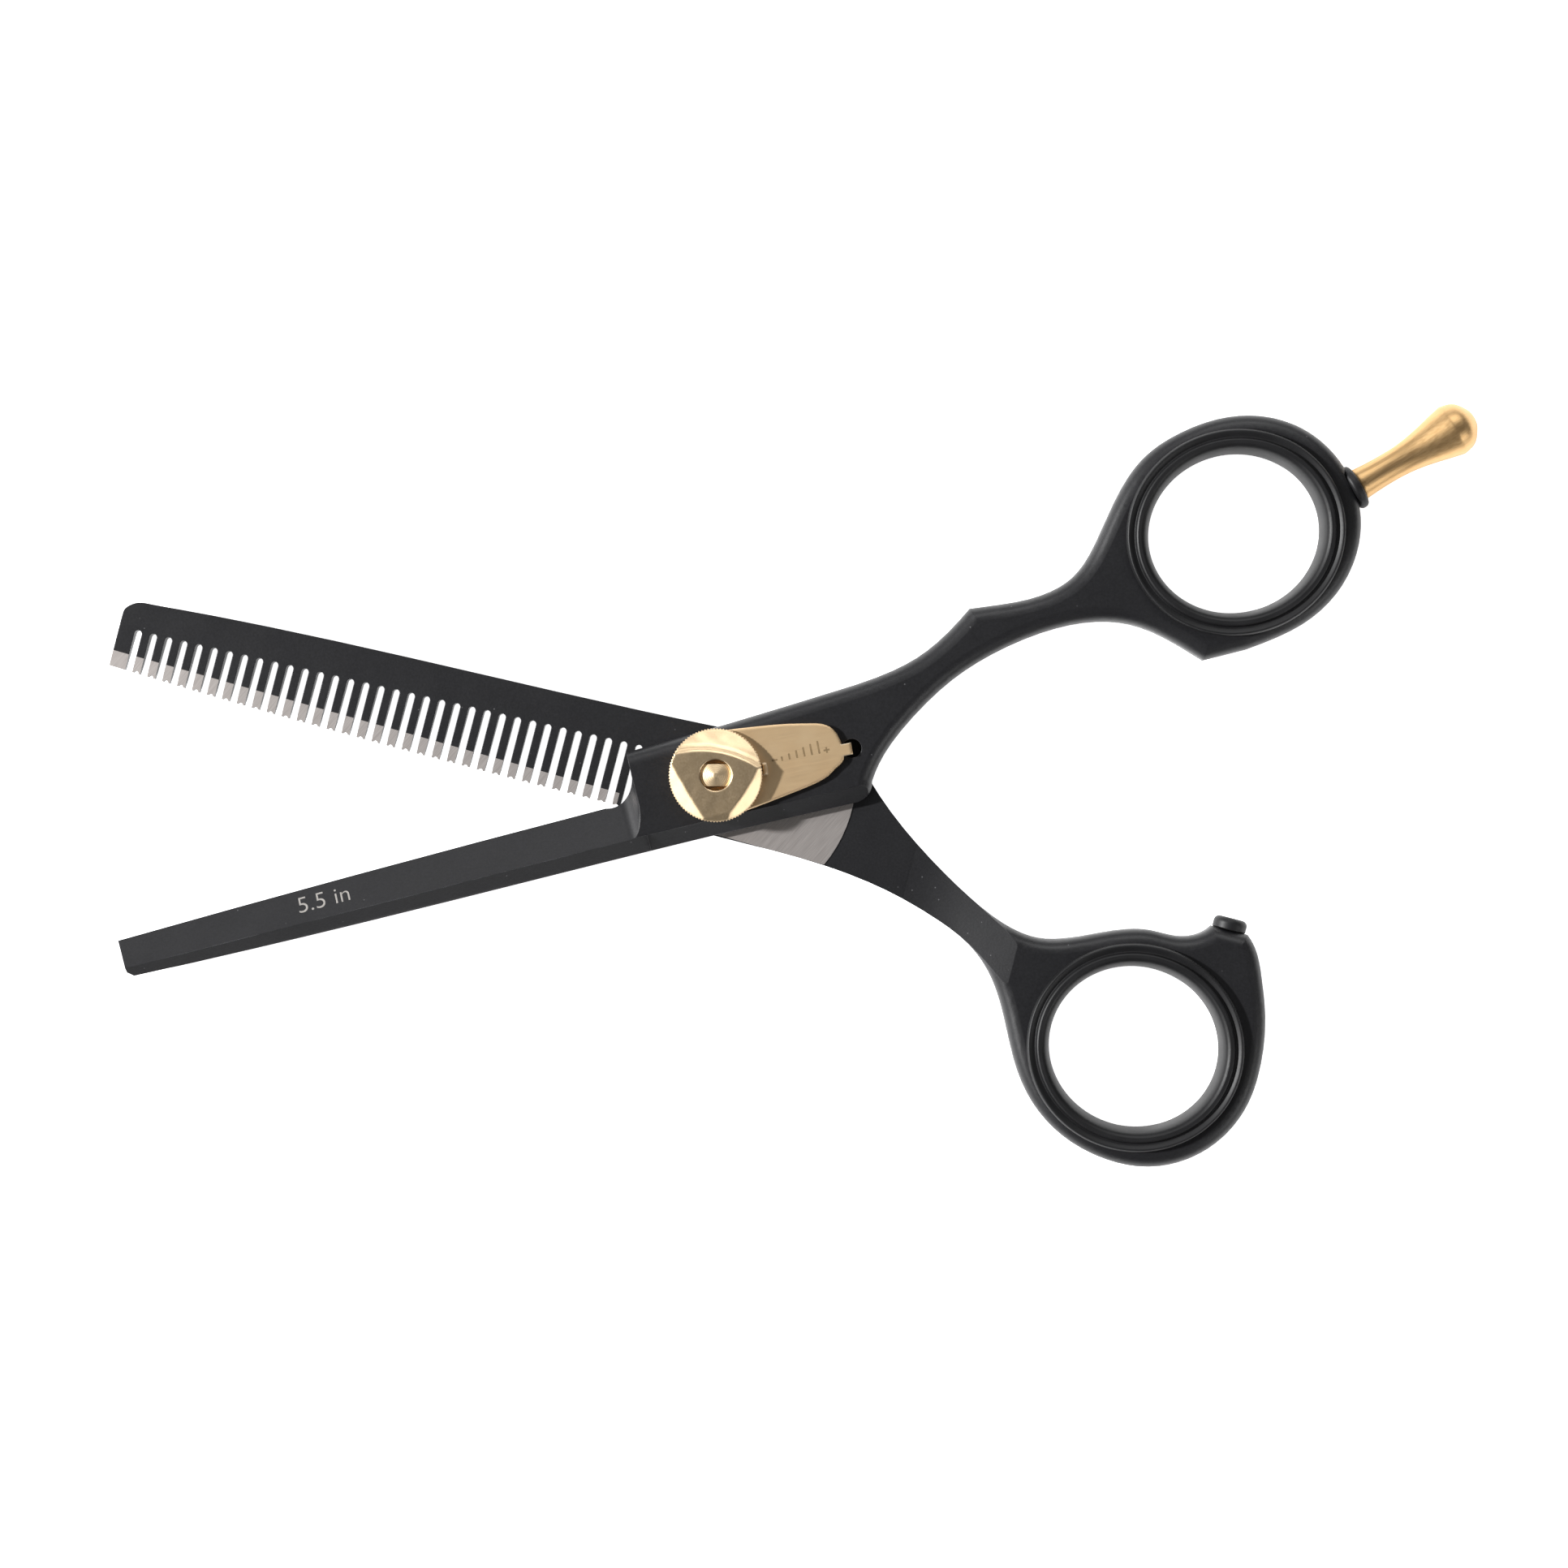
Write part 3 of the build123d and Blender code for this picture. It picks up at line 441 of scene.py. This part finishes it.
def polished_gold():
    """Gold plate over tumbled brass: bright on the flaps, deep and faintly scuffed between."""
    material, tree = new_material("polished_gold_plated_brass")
    place = add(tree, "ShaderNodeTexCoord").outputs["Object"]
    wavy = add(tree, "ShaderNodeTexNoise", {"Vector": place, "Scale": 1 / (2.2 * MM), "Detail": 1.0})
    fine = add(tree, "ShaderNodeTexNoise", {"Vector": place, "Scale": 1 / (0.15 * MM), "Detail": 3.0})
    tone = add(tree, "ShaderNodeMix", {"Factor": fine.outputs["Fac"], 6: linear("#E9CB9C"),
                                       7: linear("#F8DFBC")}, data_type="RGBA")
    gloss = add(tree, "ShaderNodeMapRange", {"Value": fine.outputs["Fac"], "To Min": 0.33,
                                             "To Max": 0.43})
    soft = add(tree, "ShaderNodeBevel", {"Radius": CREASE_ROUND}, samples=8)
    swell = add(tree, "ShaderNodeBump", {"Height": wavy.outputs["Fac"], "Strength": 0.35,
                                         "Distance": 0.25 * MM, "Normal": soft.outputs["Normal"]})
    bump = add(tree, "ShaderNodeBump", {"Height": fine.outputs["Fac"], "Strength": 0.12,
                                        "Distance": 0.012 * MM, "Normal": swell.outputs["Normal"]})
    skin = add(tree, "ShaderNodeBsdfPrincipled", {"Base Color": tone.outputs[2], "Metallic": 1.0,
                                                  "Roughness": gloss.outputs["Result"],
                                                  "Normal": bump.outputs["Normal"]})
    add(tree, "ShaderNodeOutputMaterial", {"Surface": skin.outputs[0]})
    return material


dress("tension_dial", polished_gold())

# ------------------------------------------------------------------ liners, bumper and small ring
# Soft black silicone, moulded: two liners pushed into the finger rings, the stop on the thumb
# ring and the small ring under the finger rest. Matt, with a fine bloom.


def silicone():
    """Moulded silicone: soft black, slightly cloudy with bloom, and half matt."""
    material, tree = new_material("black_moulded_silicone")
    place = add(tree, "ShaderNodeTexCoord").outputs["Object"]
    cloud = add(tree, "ShaderNodeTexNoise", {"Vector": place, "Scale": 1 / (2.5 * MM), "Detail": 4.0})
    fine = add(tree, "ShaderNodeTexNoise", {"Vector": place, "Scale": 1 / (0.2 * MM), "Detail": 2.0})
    tone = add(tree, "ShaderNodeMix", {"Factor": cloud.outputs["Fac"], 6: linear("#101011"),
                                       7: linear("#1C1C1E")}, data_type="RGBA")
    gloss = add(tree, "ShaderNodeMapRange", {"Value": cloud.outputs["Fac"], "To Min": 0.42,
                                             "To Max": 0.56})
    bump = add(tree, "ShaderNodeBump", {"Height": fine.outputs["Fac"], "Strength": 0.1,
                                        "Distance": 0.02 * MM})
    skin = add(tree, "ShaderNodeBsdfPrincipled", {"Base Color": tone.outputs[2],
                                                  "Roughness": gloss.outputs[0],
                                                  "Normal": bump.outputs[0], "IOR": 1.43})
    add(tree, "ShaderNodeOutputMaterial", {"Surface": skin.outputs[0]})
    return material


soft_black = silicone()
for node in ("finger_insert", "thumb_insert", "bumper", "finger_rest_washer"):
    dress(node, soft_black)

# ------------------------------------------------------------------ the finger rest
# Turned from brass rod, polished along its length and gold plated. It screws into the finger
# ring, and its ball end is where the little finger lies.
BALL_ROUND = 0.45 * MM               # how far the polishing has rounded the turned form
FINGER_REST_TURN = REST_TURN + math.radians(15.9)


def lathe_gold():
    """Gold plate over polished rod: warm and satin, with streaks along its length."""
    material, tree = new_material("polished_gold_plated_rod")
    place = add(tree, "ShaderNodeTexCoord").outputs["Object"]
    own = add(tree, "ShaderNodeMapping", {"Vector": place, "Rotation": (0, 0, FINGER_REST_TURN)},
              vector_type="TEXTURE")
    long = add(tree, "ShaderNodeMapping", {"Vector": own.outputs[0], "Scale": (0.05, 1, 1)})
    lines = add(tree, "ShaderNodeTexNoise", {"Vector": long.outputs[0], "Scale": 1 / (0.14 * MM),
                                             "Detail": 3.0})
    tone = add(tree, "ShaderNodeMix", {"Factor": lines.outputs["Fac"], 6: linear("#C79C66"),
                                       7: linear("#E6C491")}, data_type="RGBA")
    gloss = add(tree, "ShaderNodeMapRange", {"Value": lines.outputs["Fac"], "To Min": 0.34,
                                             "To Max": 0.52})
    round_form = add(tree, "ShaderNodeBevel", {"Radius": BALL_ROUND}, samples=8)
    bump = add(tree, "ShaderNodeBump", {"Height": lines.outputs["Fac"], "Strength": 0.3,
                                        "Distance": 0.01 * MM,
                                        "Normal": round_form.outputs["Normal"]})
    skin = add(tree, "ShaderNodeBsdfPrincipled", {"Base Color": tone.outputs[2], "Metallic": 1.0,
                                                  "Roughness": gloss.outputs[0],
                                                  "Normal": bump.outputs[0]})
    add(tree, "ShaderNodeOutputMaterial", {"Surface": skin.outputs[0]})
    return material


dress("finger_rest", lathe_gold())

# ------------------------------------------------------------------ table, light and camera
# The shears lie on a light table of opal acrylic. A small lamp low on the left draws the dial's
# shadow on the bare steel, three broad soft lamps light what faces away from it, and the long
# lens looks straight down.
TABLE_SIZE = 6.0
TABLE_DROP = 0.02 * MM               # the table lies a hair below the lowest point
FIELD = 166.9 * MM
LENS = 100.0
SENSOR = 36.0
AIM = Vector((pivot.x + 7.21 * MM, pivot.y - 0.933 * MM, pivot.z))

bpy.ops.object.select_all(action="DESELECT")
bpy.ops.mesh.primitive_plane_add(size=TABLE_SIZE, location=(0, 0, -TABLE_DROP))
table = bpy.context.object
table.name = "table_top"


def opal_acrylic():
    """Opal acrylic lit from below: an even white, with a very faint cloudiness."""
    material, tree = new_material("opal_acrylic")
    place = add(tree, "ShaderNodeTexCoord").outputs["Object"]
    cloud = add(tree, "ShaderNodeTexNoise", {"Vector": place, "Scale": 9.0})
    tone = add(tree, "ShaderNodeMix", {"Factor": cloud.outputs["Fac"], 6: linear("#F4F4F4"),
                                       7: linear("#FAFAFA")}, data_type="RGBA")
    skin = add(tree, "ShaderNodeBsdfPrincipled", {"Base Color": tone.outputs[2], "Roughness": 0.7,
                                                  "Emission Color": tone.outputs[2],
                                                  "Emission Strength": 1.05})
    add(tree, "ShaderNodeOutputMaterial", {"Surface": skin.outputs[0]})
    return material


table.data.materials.append(opal_acrylic())


def lamp(name, place, size, power):
    """A rectangular lamp at a place from the middle of the shears, which it faces."""
    data = bpy.data.lights.new(name, "AREA")
    data.shape = "RECTANGLE"
    data.size, data.size_y = size
    data.energy = power
    light = bpy.data.objects.new(name, data)
    light.location = AIM + Vector(place)
    light.rotation_euler = (AIM - light.location).to_track_quat("-Z", "Y").to_euler()
    bpy.context.collection.objects.link(light)


lamp("key_left", (-0.824, 0.124, 0.553), (0.06, 0.06), 16.0)
lamp("soft_left", (-0.72, -0.38, 0.5), (0.45, 0.45), 1.6)
lamp("soft_back", (0.12, 0.8, 0.62), (0.7, 0.4), 3.2)
lamp("soft_right", (0.72, -0.45, 0.5), (0.5, 0.4), 2.0)

world = bpy.data.worlds.new("studio")
world.use_nodes = True
world.node_tree.nodes["Background"].inputs["Color"].default_value = linear("#FFFFFF")
world.node_tree.nodes["Background"].inputs["Strength"].default_value = 0.07
bpy.context.scene.world = world
bpy.context.scene.view_settings.view_transform = "Standard"

camera_data = bpy.data.cameras.new("camera")
camera_data.lens = LENS
camera_data.sensor_width = SENSOR
camera = bpy.data.objects.new("camera", camera_data)
camera.location = AIM + Vector((0, 0, FIELD * LENS / SENSOR))
bpy.context.collection.objects.link(camera)
bpy.context.scene.camera = camera
